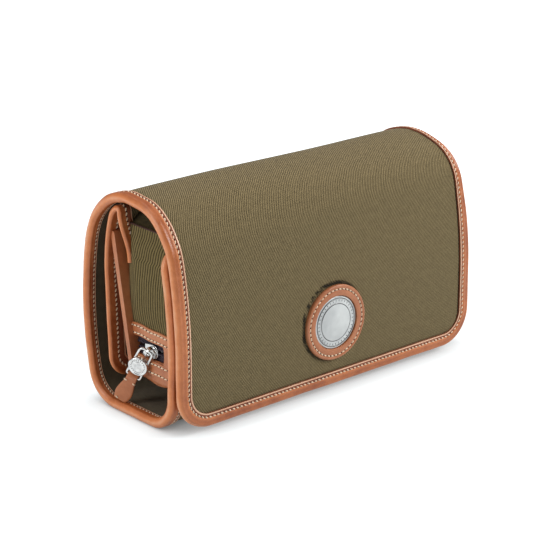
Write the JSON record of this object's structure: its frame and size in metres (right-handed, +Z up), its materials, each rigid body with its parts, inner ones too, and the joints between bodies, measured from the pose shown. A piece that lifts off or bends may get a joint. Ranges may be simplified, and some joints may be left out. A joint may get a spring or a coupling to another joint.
{
  "type": "cable organizer pouch",
  "caption": "Travel cable organizer: padded canvas wrap with leather bound edges, folding lid, zipped inner pouch, hanging page and elastic cable loops.",
  "frame": {"origin": "middle of the footprint, on the floor plane that the bottom rests on", "axes": "+X along the length to the right end, -Y out of the flap with the badge, +Z up"},
  "size_m": [0.24, 0.097, 0.1414],
  "materials": {
    "canvas": "ribbed olive twill canvas, matte",
    "lining": "dark olive woven lining, matte",
    "foam": "closed cell padding",
    "leather": "smooth tan leather, satin",
    "trim_leather": "smooth tan leather, satin, stitched",
    "elastic": "woven black elastic",
    "zip_tape": "woven plum black tape",
    "zip_teeth": "moulded plum black teeth",
    "nickel": "polished nickel plate",
    "badge_metal": "satin silver with engraved rings",
    "magnet": "plated disc magnet, hidden"
  },
  "bodies": {
    "shell": {"shell_canvas": "canvas", "shell_foam": "foam", "shell_lining": "lining", "shell_binding_left": "leather", "shell_binding_right": "leather", "cable_loop_1": "elastic", "cable_loop_2": "elastic", "cable_loop_3": "elastic", "cable_loop_4": "elastic"},
    "top_panel": {"top_canvas": "canvas", "top_foam": "foam", "top_lining": "lining", "top_binding_left": "leather", "top_binding_right": "leather"},
    "flap": {"flap_canvas": "canvas", "flap_foam": "foam", "flap_lining": "lining", "flap_binding": "leather", "flap_magnet": "magnet", "badge_leather": "leather", "badge_disc": "badge_metal"},
    "front_panel": {"front_canvas": "canvas", "front_foam": "foam", "front_lining": "lining", "front_binding": "leather", "front_magnet": "magnet", "pouch_upper": "canvas", "pouch_lower": "leather", "zip_trim_upper": "trim_leather", "zip_trim_lower": "trim_leather", "zip_trim_end_left": "trim_leather", "zip_trim_end_right": "trim_leather", "zip_tape_upper": "zip_tape", "zip_tape_lower": "zip_tape", "zip_teeth_upper": "zip_teeth", "zip_teeth_lower": "zip_teeth", "page_anchor": "leather", "slip_pocket": "leather"},
    "page": {"page_panel": "canvas", "page_binding": "leather"},
    "slider": {"zip_slider": "nickel"},
    "pull": {"pull_frame": "nickel", "pull_disc": "nickel"},
    "pull_tab": {"pull_tab": "trim_leather"}
  },
  "joints": [
    {"name": "top_fold", "type": "hinge", "parent": "shell", "child": "top_panel", "pos_m": [0, 0.02918, 0.12916], "axis": [1, 0, 0], "range_deg": [-150, 0]},
    {"name": "flap_fold", "type": "hinge", "parent": "top_panel", "child": "flap", "pos_m": [0, -0.03213, 0.12694], "axis": [1, 0, 0], "range_deg": [-95, 0]},
    {"name": "front_fold", "type": "hinge", "parent": "shell", "child": "front_panel", "pos_m": [0, -0.03234, 0.00644], "axis": [1, 0, 0], "range_deg": [0, 48]},
    {"name": "page_fold", "type": "hinge", "parent": "front_panel", "child": "page", "pos_m": [0, 0.01819, 0.12742], "axis": [1, 0, 0], "range_deg": [0, 18]},
    {"name": "zip_slide", "type": "slide", "parent": "front_panel", "child": "slider", "axis": [0, 1, 0], "range_m": [-0.0018, 0.009]},
    {"name": "pull_swing", "type": "hinge", "parent": "slider", "child": "pull", "pos_m": [-0.11355, -0.01273, 0.04375], "axis": [0, 0.891, 0.454], "range_deg": [0, 110]},
    {"name": "tab_swing", "type": "hinge", "parent": "pull", "child": "pull_tab", "pos_m": [-0.11513, -0.0025, 0.02366], "axis": [0, 0.891, 0.454], "range_deg": [0, 90]}
  ],
  "couplings": [
    {"joint": "front_fold", "follows": "top_fold", "ratio": -0.32},
    {"joint": "page_fold", "follows": "top_fold", "ratio": -0.12}
  ]
}
